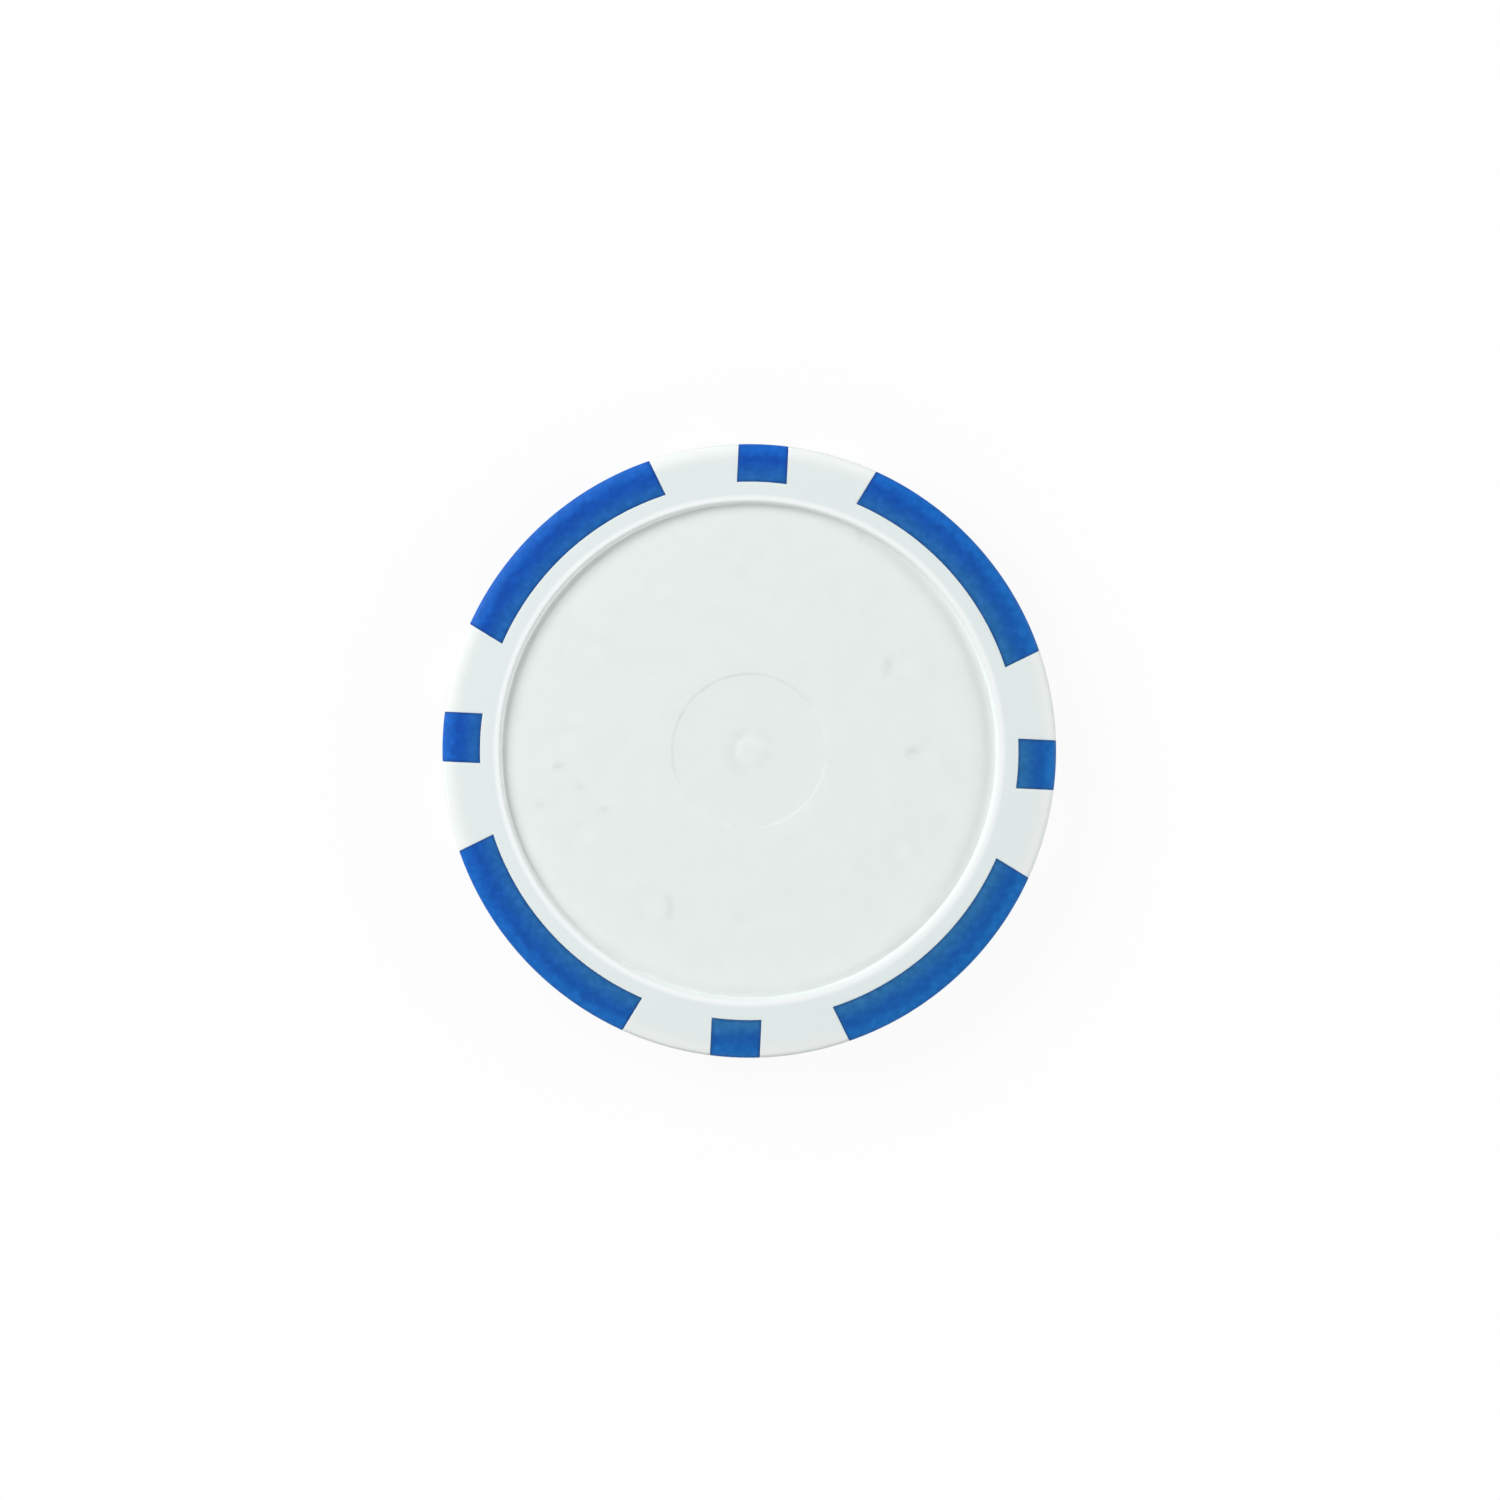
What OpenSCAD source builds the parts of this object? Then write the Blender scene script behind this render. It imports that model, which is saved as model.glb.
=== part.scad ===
// Poker chip: two white moulded half shells closed on a steel slug, with eight blue
// spots set into the rim. The spots show on both faces and wrap over the edge.
// The chip lies flat with its axis on Z, and its lower rim rests on the plane Z = 0.

/* [Chip] */
// Diameter of the chip over its edge
chip_d = 39; // [36:0.5:43]
// Thickness of the chip over its two rims
chip_t = 3.3; // [2.9:0.1:4.2]
// Radius of the rounding on the chip's outer edges
edge_r = 0.3; // [0.2:0.05:0.6]
// Width of the soft shoulder on the rim that leads out to the chip's edge
shoulder_w = 1; // [0.6:0.05:1.4]
// Slope of the shoulder where it runs into the rounding
shoulder_tilt = 15; // [10:1:30]

/* [Label recess] */
// Width of the rim, from the chip's edge to the rounding at the recess
rim_w = 3.5; // [2.9:0.05:4.5]
// Depth of the recess floor below the rim
recess_depth = 0.5; // [0.3:0.05:0.7]
// Slope of the recess wall, measured up from the floor
recess_slope = 80; // [60:1:82]
// Radius of the rounding between the recess wall and the rim
lip_r = 0.25; // [0.2:0.05:0.3]

/* [Moulding gate] */
// Diameter of the shallow dimple round the gate
dimple_d = 9.8; // [6:0.1:14]
// Depth of the dimple below the recess floor
dimple_depth = 0.05; // [0.04:0.01:0.12]
// Diameter of the trimmed gate nub
nub_d = 1.5; // [0.8:0.1:3]
// Height of the nub above the dimple, short of the recess floor
nub_h = 0.03; // [0.01:0.005:0.04]

/* [Rim spots] */
// Length of a spot on the face, in from the chip's edge
spot_len = 2.4; // [1.8:0.05:2.8]
// Width of a short spot, whose sides are parallel
short_spot_w = 3.15; // [2:0.05:5]
// Angle that a long spot spans at the middle of its length
long_spot_span = 47.4; // [30:0.2:56]
// Angle by which the ends of a long spot lean off the radius
long_spot_lean = 7.5; // [0:0.5:15]

/* [Spot tongues] */
// Length of the tongue that runs in under the white rim
tongue_len = 1.2; // [0.8:0.05:1.6]
// Thickness of the tongue
tongue_t = 0.8; // [0.5:0.05:1]
// Length of the key that holds the tongue's inner end
key_len = 0.5; // [0.3:0.05:0.7]
// Thickness of the key
key_t = 1.5; // [1.1:0.05:1.9]

/* [Steel slug] */
// Thickness of the plastic between the recess floor and the slug
face_t = 0.38; // [0.3:0.01:0.6]
// Thickness of the wall between the slug's pocket and the spots' tongues
pocket_wall = 0.55; // [0.4:0.05:1.2]
// Diameter of the holes through the slug
hole_d = 2.3; // [1.6:0.1:3]
// Number of holes in the ring, besides the one at the centre
hole_count = 12; // [6:1:16]
// Distance of the ring of holes in from the slug's rim
hole_inset = 3.65; // [2.5:0.05:6]

/* [Fits] */
// Gap between the slug's rim and its pocket
slug_gap = 0.1; // [0.02:0.01:0.3]
// Gap between a weld post and its hole in the slug
post_gap = 0.35; // [0.1:0.05:0.5]
// Gap all round a spot
spot_gap = 0.02; // [0.01:0.01:0.06]

/* [Hidden] */
$fn = 128;
// Overshoot of a cut past the surface it opens
over = 1;
chip_r = chip_d / 2;
mid_z = chip_t / 2;

// Shoulder and rounding at the lower outer edge
shoulder_r = chip_r - shoulder_w;
shoulder_arc_r = (shoulder_w - edge_r * (1 - sin(shoulder_tilt))) / sin(shoulder_tilt);
edge_z = shoulder_arc_r - (shoulder_arc_r - edge_r) * cos(shoulder_tilt);

// Recess and gate, on the lower face
lip_top_r = chip_r - rim_w;
lip_corner_r = lip_top_r - lip_r * tan(recess_slope / 2);
recess_r = lip_corner_r - recess_depth / tan(recess_slope);
dimple_z = recess_depth + dimple_depth;
nub_z = dimple_z - nub_h;

// Spots
spot_in_r = chip_r - spot_len;
spot_mid_r = chip_r - spot_len / 2;
tongue_in_r = spot_in_r - tongue_len;

// Slug and its posts
pocket_r = tongue_in_r - spot_gap - pocket_wall;
slug_r = pocket_r - slug_gap;
slug_z = recess_depth + face_t;
slug_t = chip_t - 2 * slug_z;
hole_ring_r = slug_r - hole_inset;
post_r = hole_d / 2 - post_gap;

// Colours
white_plastic = [0.90, 0.92, 0.91];
blue_plastic = [0.12, 0.35, 0.66];
steel = [0.62, 0.63, 0.65];

// Nodes: the spots are named for the way they face, starting at +X
sides = ["east", "north", "west", "south"];
corners = ["north_east", "north_west", "south_west", "south_east"];

// Half the width of a long spot at a distance x out along its middle line
function long_half_w(x) =
    spot_mid_r * sin(long_spot_span / 2)
    + (x - spot_mid_r * cos(long_spot_span / 2)) * tan(long_spot_span / 2 - long_spot_lean);

// Corner to take off the lower outer edge of a profile: the shoulder, then the rounding
module edge_cut() {
    reach = edge_r + over;
    translate([shoulder_r, 0])
        difference() {
            translate([0, -over]) square([shoulder_w + over, shoulder_arc_r + over]);
            translate([0, shoulder_arc_r]) circle(shoulder_arc_r);
        }
    translate([chip_r - edge_r, edge_z])
        difference() {
            polygon([
                [0, 0],
                [reach * sin(shoulder_tilt), -reach * cos(shoulder_tilt)],
                [reach, -reach * cos(shoulder_tilt)],
                [reach, 0]
            ]);
            circle(edge_r);
        }
}

// The same corner on the upper outer edge
module upper_edge_cut() {
    translate([0, chip_t]) mirror([0, 1]) edge_cut();
}

// Corner to take off where the recess wall meets the lower rim
module lip_cut() {
    reach = lip_r + over;
    translate([lip_top_r, lip_r])
        difference() {
            polygon([
                [0, 0],
                [-reach * sin(recess_slope), -reach * cos(recess_slope)],
                [-reach * sin(recess_slope), -reach],
                [0, -reach]
            ]);
            circle(lip_r);
        }
}

// Recess below the lower face, with the dimple and the nub at the gate
module recess_profile() {
    polygon([
        [0, nub_z],
        [nub_d / 2, nub_z],
        [nub_d / 2, dimple_z],
        [dimple_d / 2, dimple_z],
        [dimple_d / 2, recess_depth],
        [recess_r, recess_depth],
        [lip_corner_r, 0],
        [lip_corner_r, -over],
        [0, -over]
    ]);
    lip_cut();
}

// Lower half of the chip's section, open for the slug
module half_shell_profile() {
    difference() {
        square([chip_r, mid_z]);
        edge_cut();
        recess_profile();
        translate([0, slug_z]) square([pocket_r, mid_z]);
    }
}

// Tongue and key of a spot, grown all round by a gap
module tongue_profile(gap) {
    translate([tongue_in_r - gap, mid_z - tongue_t / 2 - gap])
        square([tongue_len + spot_len / 2, tongue_t + 2 * gap]);
    translate([tongue_in_r - gap, mid_z - key_t / 2 - gap])
        square([key_len + 2 * gap, key_t + 2 * gap]);
}

// Section of a spot
module spot_profile() {
    difference() {
        translate([spot_in_r, 0]) square([spot_len, chip_t]);
        edge_cut();
        upper_edge_cut();
    }
    tongue_profile(0);
}

// Section of the pocket that a spot leaves in the shells
module spot_pocket_profile() {
    translate([spot_in_r - spot_gap, -over])
        square([spot_len + spot_gap + over, chip_t + 2 * over]);
    tongue_profile(spot_gap);
}

// Plan of a short spot along +X, grown at its sides by a gap
module short_plan(gap) {
    half_w = short_spot_w / 2 + gap;
    translate([tongue_in_r - over, -half_w])
        square([chip_r - tongue_in_r + 2 * over, 2 * half_w]);
}

// Plan of a long spot along +X, grown at its ends by a gap
module long_plan(gap) {
    side = gap / cos(long_spot_span / 2 - long_spot_lean);
    from_x = tongue_in_r * cos(long_spot_span / 2) - over;
    to_x = chip_r + over;
    polygon([
        [from_x, -long_half_w(from_x) - side],
        [to_x, -long_half_w(to_x) - side],
        [to_x, long_half_w(to_x) + side],
        [from_x, long_half_w(from_x) + side]
    ]);
}

// Every spot's plan, as prisms right through the chip
module all_plans(gap) {
    for (turn = [0 : 90 : 270]) {
        translate([0, 0, -2 * over])
            linear_extrude(chip_t + 4 * over) {
                rotate(turn) short_plan(gap);
                rotate(turn + 45) long_plan(gap);
            }
    }
}

// Puts its child at the middle of the slug and at each hole of the ring
module at_each_hole() {
    children();
    for (i = [0 : hole_count - 1])
        rotate(i * 360 / hole_count) translate([hole_ring_r, 0, 0]) children();
}

// Weld posts that stand in the slug's holes and end at the middle plane
module half_posts() {
    translate([0, 0, slug_z - face_t / 2])
        at_each_hole() cylinder(r = post_r, h = (slug_t + face_t) / 2);
}

// One moulding makes both faces
module half_shell() {
    difference() {
        rotate_extrude() half_shell_profile();
        intersection() {
            rotate_extrude() spot_pocket_profile();
            all_plans(spot_gap);
        }
    }
    half_posts();
}

module back_shell() {
    color(white_plastic) half_shell();
}

module front_shell() {
    color(white_plastic) translate([0, 0, chip_t]) rotate([180, 0, 0]) half_shell();
}

module steel_slug() {
    color(steel)
        translate([0, 0, slug_z])
            difference() {
                cylinder(r = slug_r, h = slug_t);
                translate([0, 0, -over])
                    at_each_hole() cylinder(d = hole_d, h = slug_t + 2 * over);
            }
}

// A spot of the plan given as its child, turned to its place on the rim
module spot(turn) {
    color(blue_plastic)
        rotate(turn)
            intersection() {
                rotate_extrude() spot_profile();
                translate([0, 0, -over]) linear_extrude(chip_t + 2 * over) children();
            }
}

module short_spot(turn) {
    spot(turn) short_plan(0);
}

module long_spot(turn) {
    spot(turn) long_plan(0);
}

front_shell();
back_shell();
steel_slug();
for (i = [0 : 3]) {
    short_spot(90 * i);
    long_spot(90 * i + 45);
}
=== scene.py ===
import math

import bmesh
import bpy
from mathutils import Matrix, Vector

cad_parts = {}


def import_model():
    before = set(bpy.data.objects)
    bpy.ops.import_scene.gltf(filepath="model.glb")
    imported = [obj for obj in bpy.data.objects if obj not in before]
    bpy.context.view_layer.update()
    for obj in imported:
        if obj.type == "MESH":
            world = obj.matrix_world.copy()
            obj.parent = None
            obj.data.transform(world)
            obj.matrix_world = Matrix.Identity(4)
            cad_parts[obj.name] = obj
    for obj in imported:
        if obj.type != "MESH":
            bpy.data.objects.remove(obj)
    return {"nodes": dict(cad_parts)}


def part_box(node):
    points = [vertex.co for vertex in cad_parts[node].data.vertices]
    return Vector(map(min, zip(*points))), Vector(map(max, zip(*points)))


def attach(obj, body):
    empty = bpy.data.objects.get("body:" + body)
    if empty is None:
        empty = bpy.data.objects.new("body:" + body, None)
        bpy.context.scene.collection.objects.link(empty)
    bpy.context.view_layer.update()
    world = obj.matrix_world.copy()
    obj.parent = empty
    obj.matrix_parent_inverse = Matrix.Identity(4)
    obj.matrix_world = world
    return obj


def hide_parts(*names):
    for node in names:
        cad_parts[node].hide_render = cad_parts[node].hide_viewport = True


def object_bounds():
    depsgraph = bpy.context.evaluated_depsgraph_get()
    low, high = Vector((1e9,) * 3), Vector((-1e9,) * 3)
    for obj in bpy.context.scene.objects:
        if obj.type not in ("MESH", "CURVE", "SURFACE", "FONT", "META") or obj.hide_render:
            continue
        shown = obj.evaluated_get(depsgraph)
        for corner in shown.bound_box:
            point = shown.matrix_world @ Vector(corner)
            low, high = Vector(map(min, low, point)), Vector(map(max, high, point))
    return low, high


# Poker chip: two white half shells closed on a steel slug, with blue spots set into the rim.
# The shells and the spots are modelled here with their finished edges; the slug is the solid itself.
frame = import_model()
cad_lo, cad_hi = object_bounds()
scene = bpy.context.scene

# Sizes are in millimetres, with heights above the chip's middle plane, until a mesh is made
MM = 0.001
CHIP_R = cad_hi.x / MM
HALF_T = (cad_hi.z - cad_lo.z) / 2 / MM

# Rim, from the outside in
EDGE_R = 0.3
SHOULDER_W = 1.0
SHOULDER_TILT = math.radians(15)
RIM_W = 3.5
LIP_R = 0.25
RECESS_SLOPE = math.radians(80)
FOOT_R = 0.04
SHOULDER_R = CHIP_R - SHOULDER_W
LIP_TOP_R = CHIP_R - RIM_W

# Recess floor and the gate at its middle
RECESS_DEPTH = 0.5
FLOOR_Z = HALF_T - RECESS_DEPTH
DIMPLE_R = 4.9
DIMPLE_DEPTH = 0.04
DIMPLE_SOFT = 0.12
NUB_R = 0.75
NUB_H = 0.03
NUB_SOFT = 0.14
SINK_DEPTH = 0.010
SINK_R = 0.7
SINK_REACH = 1.8

# Spots, with the tongue and key that hold them under the white rim
SPOT_LEN = 2.4
SHORT_HALF_W = 3.15 / 2
LONG_HALF_SPAN = math.radians(47.4 / 2)
LONG_LEAN = math.radians(7.5)
TONGUE_LEN = 1.2
TONGUE_HALF_T = 0.4
KEY_LEN = 0.5
KEY_HALF_T = 0.75
SPOT_GAP = 0.008
SPOT_IN_R = CHIP_R - SPOT_LEN
TONGUE_IN_R = SPOT_IN_R - TONGUE_LEN
KEY_OUT_R = TONGUE_IN_R + KEY_LEN

# Notches and pockets that the spots leave in the shells
NOTCH_IN_R = SPOT_IN_R - SPOT_GAP
KEY_POCKET_IN_R = TONGUE_IN_R - SPOT_GAP
KEY_POCKET_OUT_R = KEY_OUT_R + SPOT_GAP

# Slug pocket and the weld posts in it
slug_lo, slug_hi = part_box("steel_slug")
SLUG_R = slug_hi.x / MM
SLUG_GAP = 0.1
POCKET_R = SLUG_R + SLUG_GAP
POCKET_Z = (slug_hi.z - slug_lo.z) / 2 / MM
POST_R = 0.8
POST_INSET = 3.65
POST_RING_R = SLUG_R - POST_INSET
POST_COUNT = 12

# Rounding of the edges along the seams
SEAM_R = 0.02

# Mesh density: the angle from column to column, and steps along each stretch of a section
COLUMN_STEP = math.radians(0.8)
POST_SIDES = 32
SEAM_STEPS = 4
FLAT_STEPS = 4
RELIEF_STEPS = 8
SINK_STEPS = 18
FOOT_STEPS = 5
LIP_STEPS = 9
SHOULDER_STEPS = 6
EDGE_STEPS = 12

# Two points of a mesh within this distance, in metres, are one; edges over this angle stay sharp
SAME_POINT = 1e-7
SHARP_ANGLE = math.radians(38)

# Camera and picture, with the chip CHIP_PX across at the height SCALE_Z above the floor
PICTURE_PX = 1500
CHIP_PX = 613
CHIP_RIGHT_PX = -0.75
CHIP_DOWN_PX = 0.9
CAMERA_LENS = 150
SENSOR_W = 36
SCALE_Z = 2.4
CAMERA_ROLL = math.radians(2.69)


def spread(start, stop, steps):
    """Evenly spaced values from start to stop, both included."""
    return [start + (stop - start) * i / steps for i in range(steps + 1)]


def spread_within(start, stop, steps):
    """The same values without start and stop."""
    return spread(start, stop, steps)[1:-1]


def smooth_step(low, high, value):
    """Rises smoothly from 0 at low to 1 at high."""
    t = min(1.0, max(0.0, (value - low) / (high - low)))
    return t * t * (3 - 2 * t)


class SpotPlan:
    """Outline of a spot seen along the chip's axis: straight sides, with the middle line at turn."""

    def __init__(self, turn, half_w_at_axis, tilt):
        self.turn = turn
        self.half_w_at_axis = half_w_at_axis
        self.tilt = tilt

    def side_angle(self, r, beyond):
        """Angle from the middle line to the side at radius r, with the side moved out by beyond."""
        half_w = self.half_w_at_axis + beyond / math.cos(self.tilt)
        slope = math.tan(self.tilt)
        lean = 1 + slope * slope
        along = (math.sqrt(r * r * lean - half_w * half_w) - half_w * slope) / lean
        return math.atan2(half_w + along * slope, along)

    def side_distance(self, r, angle):
        """Distance of a point outside the nearer side, negative within the spot."""
        along = r * math.cos(angle - self.turn)
        across = abs(r * math.sin(angle - self.turn))
        if along < 0:
            return CHIP_R
        return (across - self.half_w_at_axis - along * math.tan(self.tilt)) * math.cos(self.tilt)


def short_plan(turn):
    return SpotPlan(turn, SHORT_HALF_W, 0)


def long_plan(turn):
    tilt = LONG_HALF_SPAN - LONG_LEAN
    middle_r = (SPOT_IN_R + CHIP_R) / 2
    half_w = middle_r * math.sin(LONG_HALF_SPAN)
    along = middle_r * math.cos(LONG_HALF_SPAN)
    return SpotPlan(turn, half_w - along * math.tan(tilt), tilt)


SHORT_NAMES = ["short_spot_" + side for side in ("east", "north", "west", "south")]
LONG_NAMES = ["long_spot_" + side for side in ("north_east", "north_west", "south_west", "south_east")]
PLANS = {}
for quarter in range(4):
    PLANS[SHORT_NAMES[quarter]] = short_plan(math.radians(90 * quarter))
    PLANS[LONG_NAMES[quarter]] = long_plan(math.radians(90 * quarter + 45))


# Profiles: a row is (r, z, nr, nz), a point of the section and the way its surface faces

def arc_rows(centre_r, centre_z, radius, start, stop, steps):
    """Rows along a convex arc, with angles measured from straight up towards the edge."""
    rows = []
    for angle in spread(start, stop, steps):
        nr = math.sin(angle)
        nz = math.cos(angle)
        rows.append((centre_r + radius * nr, centre_z + radius * nz, nr, nz))
    return rows


def flat_rows(radii, z):
    return [(r, z, 0, 1) for r in radii]


def seam_distances():
    """Distances from a seam at which its rounding is sampled, from the flat to the seam."""
    return [SEAM_R * (1 - math.sin(angle)) for angle in spread(0, math.pi / 2, SEAM_STEPS)]


def seam_drop(distance):
    """How far the rounding at a seam lies below the flat, at a distance from the seam."""
    if distance >= SEAM_R:
        return 0.0
    return SEAM_R - math.sqrt(SEAM_R ** 2 - (SEAM_R - distance) ** 2)


def floor_relief(r, angle):
    """Height of the gate dimple, the nub and the sink marks over the weld posts."""
    dimple = DIMPLE_DEPTH * (1 - smooth_step(DIMPLE_R - DIMPLE_SOFT, DIMPLE_R + DIMPLE_SOFT, r))
    nub = NUB_H * (1 - smooth_step(NUB_R - NUB_SOFT, NUB_R + NUB_SOFT, r))
    pitch = 2 * math.pi / POST_COUNT
    from_post = angle - pitch * round(angle / pitch)
    distance_2 = r * r + POST_RING_R ** 2 - 2 * r * POST_RING_R * math.cos(from_post)
    sink = SINK_DEPTH * math.exp(-distance_2 / SINK_R ** 2)
    return nub - dimple - sink


def floor_radii(foot_r):
    """Radii of the rows on the recess floor, closer together where it has relief."""
    nub = spread(NUB_R - NUB_SOFT, NUB_R + NUB_SOFT, RELIEF_STEPS)
    dimple = spread(DIMPLE_R - DIMPLE_SOFT, DIMPLE_R + DIMPLE_SOFT, RELIEF_STEPS)
    sinks = spread(POST_RING_R - SINK_REACH, POST_RING_R + SINK_REACH, SINK_STEPS)
    middle = [nub[0] / 2]
    in_dimple = spread_within(nub[-1], dimple[0], FLAT_STEPS)
    in_ring = spread_within(dimple[-1], sinks[0], FLAT_STEPS)
    past_ring = spread_within(sinks[-1], foot_r, FLAT_STEPS)
    return middle + nub + in_dimple + dimple + in_ring + sinks + past_ring


def wall_rows():
    """Rows of the recess wall: a rounded foot, the slope and the rounded lip."""
    sin_slope = math.sin(RECESS_SLOPE)
    cos_slope = math.cos(RECESS_SLOPE)
    rise = RECESS_DEPTH - (LIP_R + FOOT_R) * (1 - cos_slope)
    foot_centre_r = LIP_TOP_R - (LIP_R + FOOT_R) * sin_slope - rise * cos_slope / sin_slope
    foot = []
    for angle in spread(0, RECESS_SLOPE, FOOT_STEPS):
        r = foot_centre_r + FOOT_R * math.sin(angle)
        foot.append((r, FLOOR_Z + FOOT_R * (1 - math.cos(angle)), -math.sin(angle), math.cos(angle)))
    lip = arc_rows(LIP_TOP_R, HALF_T - LIP_R, LIP_R, -RECESS_SLOPE, 0, LIP_STEPS)
    return foot + lip


def edge_rows():
    """Rows over the outer edge: a soft shoulder on the land, then the rounding down to the side."""
    sin_tilt = math.sin(SHOULDER_TILT)
    shoulder_radius = (SHOULDER_W - EDGE_R * (1 - sin_tilt)) / sin_tilt
    shoulder_z = HALF_T - shoulder_radius
    shoulder = arc_rows(SHOULDER_R, shoulder_z, shoulder_radius, 0, SHOULDER_TILT, SHOULDER_STEPS)
    rounding_z = shoulder_z + (shoulder_radius - EDGE_R) * math.cos(SHOULDER_TILT)
    rounding = arc_rows(CHIP_R - EDGE_R, rounding_z, EDGE_R, SHOULDER_TILT, math.pi / 2, EDGE_STEPS)
    return shoulder + rounding[1:]


def shell_skin():
    """Rows of a half shell's outside, and which of them is at the notches' inner wall."""
    wall = wall_rows()
    foot_r = wall[0][0]
    floor = flat_rows(floor_radii(foot_r), FLOOR_Z)
    land_in = flat_rows(spread_within(LIP_TOP_R, NOTCH_IN_R - SEAM_R, FLAT_STEPS), HALF_T)
    seam = flat_rows([NOTCH_IN_R - distance for distance in seam_distances()], HALF_T)
    inner = floor + wall + land_in + seam
    land_out = flat_rows(spread_within(NOTCH_IN_R, SHOULDER_R, FLAT_STEPS), HALF_T)
    over_edge = edge_rows()
    side_top_z = over_edge[-1][1]
    side = [(CHIP_R, z, 1, 0) for z in spread_within(side_top_z, SEAM_R, FLAT_STEPS)]
    parting = arc_rows(CHIP_R - SEAM_R, SEAM_R, SEAM_R, math.pi / 2, math.pi, SEAM_STEPS)
    return inner + land_out + over_edge + side + parting, len(inner) - 1


def spot_section():
    """Closed section of a spot: over the outside from the inner edge, then back along tongue and key."""
    seam_in_r = SPOT_IN_R + SEAM_R
    inner_edge = arc_rows(seam_in_r, HALF_T - SEAM_R, SEAM_R, -math.pi / 2, 0, SEAM_STEPS)
    land = flat_rows(spread_within(seam_in_r, SHOULDER_R, FLAT_STEPS), HALF_T)
    over_edge = edge_rows()
    side_top_z = over_edge[-1][1]
    side = [(CHIP_R, z, 1, 0) for z in spread_within(side_top_z, 0, FLAT_STEPS)]
    upper = inner_edge + land + over_edge + side
    lower = [(r, -z, nr, -nz) for r, z, nr, nz in reversed(upper)]
    inside = [
        (SPOT_IN_R, -TONGUE_HALF_T),
        (KEY_OUT_R, -TONGUE_HALF_T),
        (KEY_OUT_R, -KEY_HALF_T),
        (TONGUE_IN_R, -KEY_HALF_T),
        (TONGUE_IN_R, KEY_HALF_T),
        (KEY_OUT_R, KEY_HALF_T),
        (KEY_OUT_R, TONGUE_HALF_T),
        (SPOT_IN_R, TONGUE_HALF_T),
    ]
    return upper + [(CHIP_R, 0, 1, 0)] + lower + [(r, z, 0, 0) for r, z in inside]


class Surface:
    """Points and faces gathered for one mesh, with heights above the chip's middle plane."""

    def __init__(self, turned_over=False):
        self.side = -1 if turned_over else 1
        self.points = []
        self.faces = []

    def point(self, r, angle, z):
        x = r * math.cos(angle)
        y = r * math.sin(angle) * self.side
        self.points.append((x * MM, y * MM, (HALF_T + z * self.side) * MM))
        return len(self.points) - 1

    def strip(self, first, second):
        """Faces between two lines of as many points."""
        for i in range(len(first) - 1):
            self.faces.append((first[i], second[i], second[i + 1], first[i + 1]))

    def make(self, name):
        """Mesh object with its open loops filled, facing outward, smooth but for its sharp edges."""
        shape = bmesh.new()
        points = [shape.verts.new(place) for place in self.points]
        for face in self.faces:
            shape.faces.new([points[i] for i in face])
        bmesh.ops.remove_doubles(shape, verts=shape.verts, dist=SAME_POINT)
        open_edges = [edge for edge in shape.edges if edge.is_boundary]
        if open_edges:
            bmesh.ops.triangle_fill(shape, edges=open_edges, use_beauty=True)
        bmesh.ops.recalc_face_normals(shape, faces=shape.faces)
        mesh = bpy.data.meshes.new(name)
        shape.to_mesh(mesh)
        shape.free()
        mesh.shade_smooth()
        mesh.set_sharp_from_angle(angle=SHARP_ANGLE)
        piece = bpy.data.objects.new(name, mesh)
        scene.collection.objects.link(piece)
        return piece


class Column:
    """Line of points at one place round a shell. It may bound a notch, a solid stretch or both."""

    def __init__(self, angle_at, in_notch, in_solid):
        self.angle_at = angle_at
        self.in_notch = in_notch
        self.in_solid = in_solid


def notch_columns(plan):
    """Columns across a notch, from one side to the other."""
    def at(share):
        return lambda r: plan.turn + share * plan.side_angle(max(r, KEY_POCKET_IN_R), SPOT_GAP)
    steps = math.ceil(2 * plan.side_angle(CHIP_R, SPOT_GAP) / COLUMN_STEP)
    columns = []
    for i, share in enumerate(spread(-1, 1, steps)):
        columns.append(Column(at(share), True, i in (0, steps)))
    return columns


def solid_columns(plan, following):
    """Columns of the white stretch between two notches, without those at its ends."""
    def from_middle(spot, r, distance):
        return spot.side_angle(max(r, KEY_POCKET_IN_R), SPOT_GAP + distance)

    def after(distance):
        return lambda r: plan.turn + from_middle(plan, r, distance)

    def before(distance):
        return lambda r: following.turn - from_middle(following, r, distance)

    def between(start, stop, share):
        return lambda r: start(r) + (stop(r) - start(r)) * share

    near = [distance for distance in seam_distances() if distance > 0]
    start = after(SEAM_R)
    stop = before(SEAM_R)
    steps = math.ceil((stop(CHIP_R) - start(CHIP_R)) / COLUMN_STEP)
    angles = [after(distance) for distance in reversed(near)]
    angles += [between(start, stop, share) for share in spread_within(0, 1, steps)]
    angles += [before(distance) for distance in near]
    return [Column(angle_at, False, True) for angle_at in angles]


def shell_columns():
    """Columns all the way round a shell."""
    plans = sorted(PLANS.values(), key=lambda plan: plan.turn)
    first = plans[0]
    first_again = SpotPlan(first.turn + 2 * math.pi, first.half_w_at_axis, first.tilt)
    columns = []
    for plan, following in zip(plans, plans[1:] + [first_again]):
        columns += notch_columns(plan) + solid_columns(plan, following)
    return columns


def notch_distance(r, angle):
    """Distance on the face from a point to the nearest notch."""
    inward = max(0.0, NOTCH_IN_R - r)
    nearest = CHIP_R
    for plan in PLANS.values():
        aside = max(0.0, plan.side_distance(r, angle) - SPOT_GAP)
        nearest = min(nearest, math.hypot(inward, aside))
    return nearest


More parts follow.
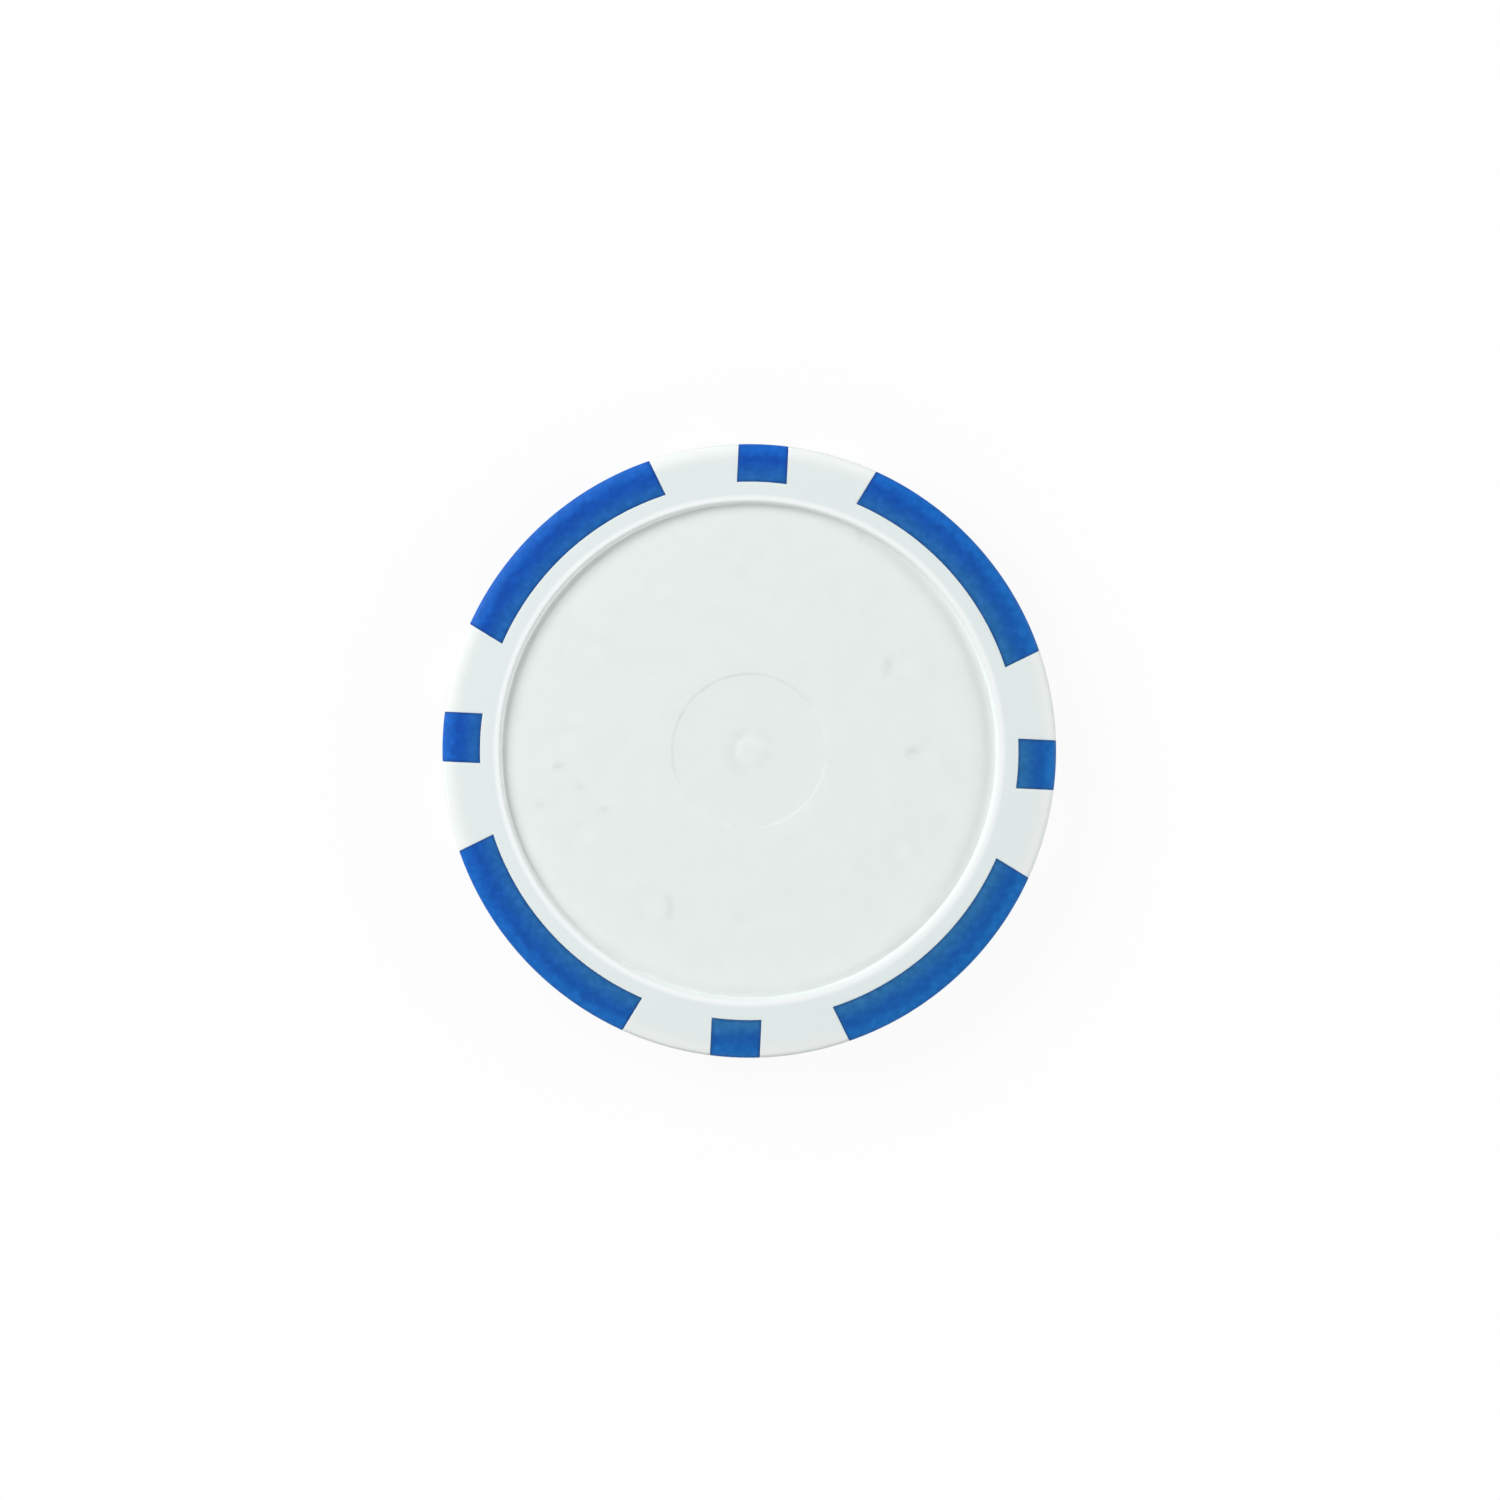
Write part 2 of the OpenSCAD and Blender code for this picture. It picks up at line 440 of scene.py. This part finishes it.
def add_post(surface, r, angle):
    """Weld post from the pocket's floor to the middle plane, open where the floor is filled in."""
    centre_x = r * math.cos(angle)
    centre_y = r * math.sin(angle)
    rings = []
    for z in (POCKET_Z, 0):
        ring = []
        for turn in spread(0, 2 * math.pi, POST_SIDES)[:-1]:
            x = centre_x + POST_R * math.cos(turn)
            y = centre_y + POST_R * math.sin(turn)
            ring.append(surface.point(math.hypot(x, y), math.atan2(y, x), z))
        rings.append(ring)
    surface.strip(rings[0] + rings[0][:1], rings[1] + rings[1][:1])
    surface.faces.append(rings[1])


def skin_points(surface, column, rows):
    """Points of a column on the shell's outside, with the relief and the rounding at the seams."""
    points = []
    for r, z, nr, nz in rows:
        angle = column.angle_at(r)
        drop = seam_drop(notch_distance(r, angle))
        r -= drop * nr
        z += floor_relief(r, angle) - drop * nz
        points.append(surface.point(r, column.angle_at(r), z))
    return points


def key_pocket_points(surface, column):
    """Points of a column below a notch's inner wall, round the pockets of the tongue and the key."""
    section = [
        (NOTCH_IN_R, TONGUE_HALF_T + SPOT_GAP),
        (KEY_POCKET_OUT_R, TONGUE_HALF_T + SPOT_GAP),
        (KEY_POCKET_OUT_R, KEY_HALF_T + SPOT_GAP),
        (KEY_POCKET_IN_R, KEY_HALF_T + SPOT_GAP),
    ]
    return [surface.point(r, column.angle_at(r), z) for r, z in section]


def slug_pocket_points(surface, column):
    """Points of a column from the key pockets in to the slug's pocket."""
    section = [(KEY_POCKET_IN_R, 0), (POCKET_R, 0), (POCKET_R, POCKET_Z)]
    angle = column.angle_at(KEY_POCKET_IN_R)
    return [surface.point(r, angle, z) for r, z in section]


def half_shell(name, turned_over):
    """One moulding makes both faces: skin, notches for the spots, slug pocket and weld posts."""
    surface = Surface(turned_over)
    rows, notch_row = shell_skin()
    columns = shell_columns()
    shared = []
    solid = []
    notch = []
    for column in columns:
        skin = skin_points(surface, column, rows if column.in_solid else rows[:notch_row + 1])
        key_pocket = key_pocket_points(surface, column) if column.in_notch else []
        slug_pocket = slug_pocket_points(surface, column)
        shared.append(skin[:notch_row + 1])
        solid.append(skin[notch_row:] + slug_pocket)
        notch.append([skin[notch_row]] + key_pocket + slug_pocket)
        if column.in_notch and column.in_solid:
            surface.faces.append(skin[notch_row:] + slug_pocket[:1] + key_pocket[::-1])

    # The middle of the recess floor is one flat face
    surface.faces.append([line[0] for line in shared])
    for i, column in enumerate(columns):
        following = (i + 1) % len(columns)
        surface.strip(shared[i], shared[following])
        if column.in_notch and columns[following].in_notch:
            surface.strip(notch[i], notch[following])
        else:
            surface.strip(solid[i], solid[following])

    add_post(surface, 0, 0)
    for turn in spread(0, 2 * math.pi, POST_COUNT)[:-1]:
        add_post(surface, POST_RING_R, turn)
    return surface.make(name)


def rim_spot(name, plan):
    """Blue spot with rounded edges on both faces and over the side, and its hidden tongue and key."""
    surface = Surface()
    section = spot_section()

    def beside(side, distance):
        return lambda r: plan.turn + side * plan.side_angle(r, -distance)

    def across(share):
        return lambda r: plan.turn + share * plan.side_angle(r, -SEAM_R)

    from_end = seam_distances()[::-1]
    steps = math.ceil(2 * plan.side_angle(CHIP_R, 0) / COLUMN_STEP)
    columns = [(beside(-1, distance), seam_drop(distance)) for distance in from_end]
    columns += [(across(share), 0.0) for share in spread_within(-1, 1, steps)]
    columns += [(beside(1, distance), seam_drop(distance)) for distance in reversed(from_end)]

    lines = []
    for angle_at, drop in columns:
        line = []
        for r, z, nr, nz in section:
            r -= drop * nr
            line.append(surface.point(r, angle_at(r), z - drop * nz))
        lines.append(line + line[:1])
    for first, second in zip(lines, lines[1:]):
        surface.strip(first, second)
    surface.faces.append(lines[0][:-1])
    surface.faces.append(lines[-1][:-1])
    return surface.make(name)


# Material nodes

def add_node(tree, kind, inputs=None, **settings):
    """New node with its settings, its inputs set or linked by name or place."""
    made = tree.nodes.new(kind)
    for setting, value in settings.items():
        setattr(made, setting, value)
    for place, value in (inputs or {}).items():
        if isinstance(value, bpy.types.NodeSocket):
            tree.links.new(value, made.inputs[place])
        else:
            made.inputs[place].default_value = value
    return made


def calc(tree, operation, *values):
    return add_node(tree, "ShaderNodeMath", dict(enumerate(values)), operation=operation).outputs[0]


def mix_colour(tree, share, first, second, blend="MIX"):
    """Goes from the first colour to the second by a share."""
    inputs = {0: share, 6: first, 7: second}
    return add_node(tree, "ShaderNodeMix", inputs, data_type="RGBA", blend_type=blend).outputs[2]


def tinted(tree, colour, tint):
    """Colour multiplied by a tint."""
    return mix_colour(tree, 1.0, colour, tint, "MULTIPLY")


def ease(tree, value, low, high, to_low=0.0, to_high=1.0):
    """Maps a value from low and high to the two ends, with a smooth change between."""
    ranges = {"Value": value, "From Min": low, "From Max": high, "To Min": to_low, "To Max": to_high}
    return add_node(tree, "ShaderNodeMapRange", ranges, interpolation_type="SMOOTHSTEP").outputs[0]


def noise(tree, place, size_mm, detail, stretch=(1, 1, 1)):
    """Noise whose features are about size_mm across, drawn out by stretch."""
    spacing = Vector(1 / (size_mm * MM * part) for part in stretch)
    scaled = add_node(tree, "ShaderNodeVectorMath", {0: place, 1: spacing}, operation="MULTIPLY")
    inputs = {"Vector": scaled.outputs[0], "Scale": 1.0, "Detail": detail, "Roughness": 0.55}
    return add_node(tree, "ShaderNodeTexNoise", inputs).outputs[0]


def patches(tree, place, size_mm, detail, limits, levels=(0, 1)):
    """Soft patches of noise: the first level where it is below the limits, the second above them."""
    return ease(tree, noise(tree, place, size_mm, detail), *limits, *levels)


def new_material(name):
    """Material, its node tree, its shader and the place on the chip, in metres."""
    material = bpy.data.materials.new(name)
    material.use_nodes = True
    tree = material.node_tree
    place = add_node(tree, "ShaderNodeTexCoord").outputs["Object"]
    return material, tree, tree.nodes["Principled BSDF"], place


def axis_distance_mm(tree, place):
    """Distance in millimetres from the chip's axis."""
    flat = add_node(tree, "ShaderNodeVectorMath", {0: place, 1: (1, 1, 0)}, operation="MULTIPLY")
    length = add_node(tree, "ShaderNodeVectorMath", {0: flat.outputs[0]}, operation="LENGTH")
    return calc(tree, "DIVIDE", length.outputs["Value"], MM)


def nearest_line(tree, place, outward, count, first=0.0):
    """Distances along and across the nearest of count lines from the axis, evenly spaced from first."""
    parts = add_node(tree, "ShaderNodeSeparateXYZ", {0: place}).outputs
    angle = calc(tree, "SUBTRACT", calc(tree, "ARCTAN2", parts["Y"], parts["X"]), first)
    half_pitch = math.pi / count
    aside = calc(tree, "WRAP", angle, half_pitch, -half_pitch)
    along = calc(tree, "MULTIPLY", outward, calc(tree, "COSINE", aside))
    across = calc(tree, "MULTIPLY", outward, calc(tree, "SINE", calc(tree, "ABSOLUTE", aside)))
    return along, across


def post_distance(tree, place, outward):
    """Distance, seen along the chip's axis, from the nearest weld post of the ring."""
    along, across = nearest_line(tree, place, outward, POST_COUNT)
    past = calc(tree, "SUBTRACT", along, POST_RING_R)
    squares = calc(tree, "ADD", calc(tree, "POWER", past, 2), calc(tree, "POWER", across, 2))
    return calc(tree, "SQRT", squares)


def seam_distance(tree, place, outward):
    """Distance of a point in a spot from the nearest seam on the face."""
    inside = []
    for node in (SHORT_NAMES[0], LONG_NAMES[0]):
        plan = PLANS[node]
        along, across = nearest_line(tree, place, outward, len(SHORT_NAMES), plan.turn)
        half_w = calc(tree, "MULTIPLY_ADD", along, math.tan(plan.tilt), plan.half_w_at_axis)
        to_side = calc(tree, "SUBTRACT", half_w, across)
        inside.append(calc(tree, "MULTIPLY", to_side, math.cos(plan.tilt)))
    from_side = calc(tree, "MAXIMUM", *inside)
    return calc(tree, "MINIMUM", from_side, calc(tree, "SUBTRACT", outward, SPOT_IN_R))


def bump(tree, shader, height, depth_mm):
    inputs = {"Height": height, "Distance": depth_mm * MM, "Strength": 1.0}
    made = add_node(tree, "ShaderNodeBump", inputs)
    tree.links.new(made.outputs[0], shader.inputs["Normal"])


WHITE = (0.790, 0.836, 0.821, 1)
WHITE_CLOUDED = (0.772, 0.820, 0.806, 1)
WHITE_LAND = (0.748, 0.816, 0.806, 1)
# Paler white for the painted highlights along the recess lip and over the outer edge
WHITE_PAINTED_HIGHLIGHT = (0.885, 0.918, 0.915, 1)
WHITE_PALE = (0.830, 0.872, 0.857, 1)
# Darker white for the painted shade on the chip's side
WHITE_SIDE_PAINTED_SHADE = (0.730, 0.785, 0.770, 1)
# Grey white for smudges and grime, and for the painted shade along the dimple's edge
WHITE_SMUDGE_AND_SHADE = (0.60, 0.62, 0.61, 1)

# Marks on the white by millimetres from the axis: where a band starts, is full, fades and ends
NUB_PALE = (0.1, 0.5, 0.7, 1.0)
NUB_DIRT = (0.8, 1.1, 1.3, 1.9)
# Painted shade along the edge of the gate dimple
DIMPLE_PAINTED_SHADE = (4.72, 4.84, 4.9, 5.02)
LAND = (15.7, 15.9, 18.2, 19.0)
# Painted highlight along the rounded lip of the recess
LIP_PAINTED_HIGHLIGHT = (15.8, 16.0, 16.05, 16.38)
# Painted highlight on the shoulder and the rounding of the outer edge
EDGE_PAINTED_HIGHLIGHT = (18.6, 19.2, 19.4, 19.49)

# Where the clouding of the dimple ends and the painted shade on the side begins, from the axis
DIMPLE_CLOUDED = (4.7, 4.9)
SIDE_PAINTED_SHADE = (19.45, 19.49)

# Marks by distance from a weld post: the end of the pale middle, and the band of the dull ring
POST_PALE = (0.2, 0.8)
POST_DULL = (0.6, 0.9, 1.1, 1.6)

# Smudges on the front's recess floor: x, y, half length, half width, turn in degrees and share
SMUDGES = [
    (8.5, 5.8, 1.20, 0.55, 65, 0.38),
    (10.3, 0.4, 0.75, 0.60, 30, 0.42),
    (-4.7, -10.2, 1.10, 0.65, 100, 0.40),
    (-12.1, -1.6, 0.65, 0.50, 0, 0.36),
    (-10.6, -2.7, 0.60, 0.45, 40, 0.32),
    (-8.9, -4.1, 0.90, 0.45, 20, 0.24),
    (-13.2, -4.0, 0.60, 0.55, 0, 0.28),
    (6.4, 14.0, 0.85, 0.55, 70, 0.26),
]


def smudge_share(tree, place, smudge):
    """Share of a smudge at a place on the front, 0 away from it."""
    x, y, half_length, half_width, turn, share = smudge
    inputs = {
        "Vector": place,
        "Location": (x * MM, y * MM, (HALF_T + FLOOR_Z) * MM),
        "Rotation": (0, 0, math.radians(turn)),
        "Scale": (half_length * MM, half_width * MM, MM),
    }
    local = add_node(tree, "ShaderNodeMapping", inputs, vector_type="TEXTURE").outputs[0]
    distance = add_node(tree, "ShaderNodeVectorMath", {0: local}, operation="LENGTH").outputs["Value"]
    return ease(tree, distance, 0.1, 1.0, to_low=share, to_high=0)


def band(tree, value, bounds, share=1.0):
    """The share between the two middle bounds, falling smoothly to 0 at the outer two."""
    start, full, fading, end = bounds
    rising = ease(tree, value, start, full)
    falling = ease(tree, value, fading, end, to_low=share, to_high=0)
    return calc(tree, "MULTIPLY", rising, falling)


def gate_marks(tree, place, outward, colour):
    """Gate marks: a clouded dimple, a paler nub, grime round the nub and painted shade along the
    dimple's edge.
    """
    clouded = ease(tree, outward, *DIMPLE_CLOUDED, to_low=0.6, to_high=0)
    colour = mix_colour(tree, clouded, colour, WHITE_CLOUDED)
    colour = mix_colour(tree, band(tree, outward, NUB_PALE, share=0.35), colour, WHITE_PALE)
    broken = patches(tree, place, size_mm=1.5, detail=3, limits=(0.42, 0.58))
    # Grime round the nub and painted shade along the dimple's edge
    for bounds, share in ((NUB_DIRT, 0.17), (DIMPLE_PAINTED_SHADE, 0.12)):
        dark_band = calc(tree, "MULTIPLY", band(tree, outward, bounds, share), broken)
        colour = mix_colour(tree, dark_band, colour, WHITE_SMUDGE_AND_SHADE)
    return colour


def post_marks(tree, place, outward, patchy, colour):
    """Faint marks on the faces over the weld posts: a paler middle and a duller ring."""
    distance = post_distance(tree, place, outward)
    middle = ease(tree, distance, *POST_PALE, to_low=0.35, to_high=0)
    colour = mix_colour(tree, calc(tree, "MULTIPLY", middle, patchy), colour, WHITE_PALE)
    ring = band(tree, distance, POST_DULL, share=0.03)
    return mix_colour(tree, calc(tree, "MULTIPLY", ring, patchy), colour, WHITE_SMUDGE_AND_SHADE)


def rim_tone_and_painted_light(tree, outward, colour):
    """The rim's own white, with painted highlights along the lip and the edge and painted shade on the
    side.
    """
    colour = mix_colour(tree, band(tree, outward, LAND), colour, WHITE_LAND)
    # Painted highlights along the recess lip and over the outer edge
    colour = mix_colour(tree, band(tree, outward, LIP_PAINTED_HIGHLIGHT), colour, WHITE_PAINTED_HIGHLIGHT)
    colour = mix_colour(tree, band(tree, outward, EDGE_PAINTED_HIGHLIGHT, share=0.6), colour, WHITE_PAINTED_HIGHLIGHT)
    # Painted shade on the side
    return mix_colour(tree, ease(tree, outward, *SIDE_PAINTED_SHADE), colour, WHITE_SIDE_PAINTED_SHADE)


def white_plastic():
    """Moulded white plastic: cloudy, with painted highlights and painted shade on the rim, and smudged
    by handling.
    """
    material, tree, shader, place = new_material("white_plastic")
    outward = axis_distance_mm(tree, place)
    cloud = patches(tree, place, size_mm=1.6, detail=5, limits=(0.35, 0.7))
    patchy = patches(tree, place, size_mm=0.8, detail=3, limits=(0.36, 0.56), levels=(0.1, 1))
    colour = mix_colour(tree, cloud, WHITE, WHITE_CLOUDED)
    colour = gate_marks(tree, place, outward, colour)
    colour = post_marks(tree, place, outward, patchy, colour)
    colour = rim_tone_and_painted_light(tree, outward, colour)
    for smudge in SMUDGES:
        share = calc(tree, "MULTIPLY", smudge_share(tree, place, smudge), patchy)
        colour = mix_colour(tree, share, colour, WHITE_SMUDGE_AND_SHADE)
    tree.links.new(colour, shader.inputs["Base Color"])
    rough = patches(tree, place, size_mm=2.5, detail=4, limits=(0.3, 0.7), levels=(0.36, 0.46))
    tree.links.new(rough, shader.inputs["Roughness"])
    shader.inputs["Specular IOR Level"].default_value = 0.22
    bump(tree, shader, noise(tree, place, size_mm=0.35, detail=3), depth_mm=0.004)
    return material


BLUE_INNER = (0.016, 0.128, 0.375, 1)
BLUE_MIDDLE = (0.004, 0.083, 0.380, 1)
# Paler blue for the painted light over the rounded outer edge
BLUE_EDGE_PAINTED_LIGHT = (0.006, 0.128, 0.490, 1)
BLUE_WORN = (0.04, 0.17, 0.45, 1)
BLUE_SEAM = (0.010, 0.050, 0.180, 1)

# Painted light on the blue: tints that raise its blue towards the north-west of the chip and lower it
# towards the south-east
BLUE_PAINTED_LIGHT_NORTH_WEST = (0.75, 0.93, 1.09, 1)
BLUE_PAINTED_SHADE_SOUTH_EAST = (1.30, 1.11, 0.95, 1)
TINT_REACH = 17.0
SOUTH_EAST = (math.sqrt(0.5), -math.sqrt(0.5), 0)
MOTTLE_DARK = (0.70, 0.86, 0.90, 1)
MOTTLE_LIGHT = (1.15, 1.08, 1.06, 1)

# Where the blue changes by distance from the axis, out to the painted light on the edge, how far that
# wanders, and the dark along a seam
BLUE_TO_MIDDLE = (17.6, 18.9)
BLUE_TO_EDGE_PAINTED_LIGHT = (18.9, 19.6)
BLUE_WANDER = 0.8
SEAM_DARK = (0.04, 0.24)


def blue_plastic():
    """Moulded blue plastic: paler inward, with painted light over the edge and across the chip, mottled
    and lightly worn.
    """
    material, tree, shader, place = new_material("blue_plastic")
    wander = calc(tree, "MULTIPLY", noise(tree, place, size_mm=1.1, detail=4), BLUE_WANDER)
    from_axis = axis_distance_mm(tree, place)
    outward = calc(tree, "ADD", from_axis, wander)
    colour = mix_colour(tree, ease(tree, outward, *BLUE_TO_MIDDLE), BLUE_INNER, BLUE_MIDDLE)
    # Painted light over the rounded outer edge
    colour = mix_colour(tree, ease(tree, outward, *BLUE_TO_EDGE_PAINTED_LIGHT), colour, BLUE_EDGE_PAINTED_LIGHT)
    at_seam = ease(tree, seam_distance(tree, place, from_axis), *SEAM_DARK, to_low=0.5, to_high=0)
    colour = mix_colour(tree, at_seam, colour, BLUE_SEAM)
    worn = patches(tree, place, size_mm=0.45, detail=4, limits=(0.64, 0.80), levels=(0, 0.4))
    colour = mix_colour(tree, worn, colour, BLUE_WORN)
    # Painted light across the blue, stronger blue to the north-west and duller to the south-east
    across = add_node(tree, "ShaderNodeVectorMath", {0: place, 1: SOUTH_EAST}, operation="DOT_PRODUCT")
    tint = ease(tree, across.outputs["Value"], -TINT_REACH * MM, TINT_REACH * MM)
    colour = tinted(tree, colour, mix_colour(tree, tint, BLUE_PAINTED_LIGHT_NORTH_WEST, BLUE_PAINTED_SHADE_SOUTH_EAST))
    mottle = patches(tree, place, size_mm=0.45, detail=4, limits=(0.34, 0.66))
    colour = tinted(tree, colour, mix_colour(tree, mottle, MOTTLE_DARK, MOTTLE_LIGHT))
    tree.links.new(colour, shader.inputs["Base Color"])
    rough = patches(tree, place, size_mm=1.2, detail=4, limits=(0.3, 0.7), levels=(0.46, 0.56))
    tree.links.new(rough, shader.inputs["Roughness"])
    shader.inputs["Specular IOR Level"].default_value = 0.18
    bump(tree, shader, noise(tree, place, size_mm=0.3, detail=3), depth_mm=0.004)
    return material


STEEL_LIGHT = (0.56, 0.57, 0.59, 1)
STEEL_DARK = (0.46, 0.47, 0.49, 1)


def brushed_steel():
    """Rolled sheet steel, with long fine lines along X."""
    material, tree, shader, place = new_material("slug_steel")
    lines = noise(tree, place, size_mm=0.12, detail=3, stretch=(60, 1, 1))
    colour = mix_colour(tree, ease(tree, lines, 0.35, 0.65), STEEL_DARK, STEEL_LIGHT)
    tree.links.new(colour, shader.inputs["Base Color"])
    rough = ease(tree, lines, 0.3, 0.7, to_low=0.42, to_high=0.30)
    tree.links.new(rough, shader.inputs["Roughness"])
    shader.inputs["Metallic"].default_value = 1.0
    bump(tree, shader, lines, depth_mm=0.003)
    return material


def dress(piece, node, material):
    """Puts a finished piece in the place of its solid."""
    piece.data.materials.append(material)
    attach(piece, "root")
    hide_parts(node)


white = white_plastic()
blue = blue_plastic()
dress(half_shell("moulded_front_shell", False), "front_shell", white)
dress(half_shell("moulded_back_shell", True), "back_shell", white)
for spot_node, spot_plan in PLANS.items():
    dress(rim_spot("moulded_" + spot_node, spot_plan), spot_node, blue)

slug = frame["nodes"]["steel_slug"]
slug.data.materials.clear()
slug.data.materials.append(brushed_steel())


# Floor, light and camera, with lengths in metres

FLOOR_SIZE = 8.0
FLOOR_DROP = 0.00002
FLOOR_SEEN = (0.86, 0.86, 0.86, 1)
FLOOR_BOUNCE = (0.50, 0.50, 0.50, 1)
FLOOR_WHITE_SHARE = 0.93
FLOOR_NEAR = 0.020
FLOOR_FAR = 0.045
LAMP_DISTANCE = 0.5
PURE_WHITE = (1, 1, 1, 1)

# Light of the sky from above and from the sides, and the heights, as sines, between which it changes
SKY_LEVEL = 0.08
HORIZON_LEVEL = 0.26
SKY_FROM = 0.70
SKY_FULL = 0.85


def seen_directly(tree):
    """1 on rays from the camera and on mirrored or refracted ones, 0 on rays that carry light."""
    path = add_node(tree, "ShaderNodeLightPath").outputs
    reflected = calc(tree, "MAXIMUM", path["Is Glossy Ray"], path["Is Transmission Ray"])
    return calc(tree, "MAXIMUM", path["Is Camera Ray"], reflected)


def floor_material():
    """Takes a faint shadow near the chip and is white further out, but grey to light that bounces."""
    material = bpy.data.materials.new("floor_white")
    material.use_nodes = True
    tree = material.node_tree
    tree.nodes.clear()
    seen = seen_directly(tree)
    colour = mix_colour(tree, seen, FLOOR_BOUNCE, FLOOR_SEEN)
    matt = add_node(tree, "ShaderNodeBsdfDiffuse", {"Color": colour})
    glow = add_node(tree, "ShaderNodeEmission", {"Color": PURE_WHITE, "Strength": 1.0})
    place = add_node(tree, "ShaderNodeTexCoord").outputs["Object"]
    away = add_node(tree, "ShaderNodeVectorMath", {0: place}, operation="LENGTH").outputs["Value"]
    white_share = ease(tree, away, FLOOR_NEAR, FLOOR_FAR, to_low=FLOOR_WHITE_SHARE, to_high=1)
    share = calc(tree, "MULTIPLY", seen, white_share)
    both = add_node(tree, "ShaderNodeMixShader", {0: share, 1: matt.outputs[0], 2: glow.outputs[0]})
    add_node(tree, "ShaderNodeOutputMaterial", {"Surface": both.outputs[0]})
    return material


def make_floor():
    """Flat floor just under the chip."""
    mesh = bpy.data.meshes.new("floor")
    half = FLOOR_SIZE / 2
    corners = [(-half, -half, 0), (half, -half, 0), (half, half, 0), (-half, half, 0)]
    mesh.from_pydata(corners, [], [(0, 1, 2, 3)])
    mesh.materials.append(floor_material())
    floor = bpy.data.objects.new("floor", mesh)
    floor.location.z = -FLOOR_DROP
    scene.collection.objects.link(floor)


def make_world():
    """Soft light, more from the sides than from above, and a white sky to the camera and to gloss."""
    world = bpy.data.worlds.new("studio")
    scene.world = world
    world.use_nodes = True
    tree = world.node_tree
    tree.nodes.clear()
    direction = add_node(tree, "ShaderNodeTexCoord").outputs["Generated"]
    up = add_node(tree, "ShaderNodeSeparateXYZ", {0: direction}).outputs["Z"]
    level = ease(tree, up, SKY_FROM, SKY_FULL, to_low=HORIZON_LEVEL, to_high=SKY_LEVEL)
    light = add_node(tree, "ShaderNodeBackground", {"Color": PURE_WHITE, "Strength": level})
    backdrop = add_node(tree, "ShaderNodeBackground", {"Color": PURE_WHITE, "Strength": 1.0})
    share = seen_directly(tree)
    both = add_node(tree, "ShaderNodeMixShader", {0: share, 1: light.outputs[0], 2: backdrop.outputs[0]})
    add_node(tree, "ShaderNodeOutputWorld", {"Surface": both.outputs[0]})


def soft_lamp(name, compass, height, size, level):
    """Rectangular lamp: degrees round from +X, degrees up, and the light that it puts on a flat face."""
    turn = math.radians(compass)
    rise = math.radians(height)
    lamp = bpy.data.lights.new(name, "AREA")
    lamp.shape = "RECTANGLE"
    lamp.size, lamp.size_y = size
    lamp.energy = level * math.pi ** 2 * LAMP_DISTANCE ** 2 / math.sin(rise)
    outward = math.cos(rise)
    away = Vector((outward * math.cos(turn), outward * math.sin(turn), math.sin(rise)))
    placed = bpy.data.objects.new(name, lamp)
    placed.location = away * LAMP_DISTANCE
    placed.rotation_euler = away.to_track_quat("Z", "Y").to_euler()
    placed.visible_camera = False
    scene.collection.objects.link(placed)


def make_camera():
    """Straight above the chip, turned and shifted as in the photograph."""
    camera = bpy.data.cameras.new("camera")
    camera.lens = CAMERA_LENS
    camera.sensor_width = SENSOR_W
    camera.shift_x = -CHIP_RIGHT_PX / PICTURE_PX
    camera.shift_y = CHIP_DOWN_PX / PICTURE_PX
    picture_w = 2 * CHIP_R * MM * PICTURE_PX / CHIP_PX
    placed = bpy.data.objects.new("camera", camera)
    placed.location = (0, 0, SCALE_Z * MM + picture_w * CAMERA_LENS / SENSOR_W)
    placed.rotation_euler = (0, 0, CAMERA_ROLL)
    scene.collection.objects.link(placed)
    scene.camera = placed


make_floor()
make_world()
soft_lamp("key", compass=149, height=33.5, size=(0.44, 0.26), level=0.613)
soft_lamp("low_east", compass=9, height=21, size=(0.40, 0.14), level=0.184)
soft_lamp("south", compass=-90, height=32, size=(0.30, 0.20), level=0.138)
make_camera()
scene.view_settings.view_transform = "Standard"
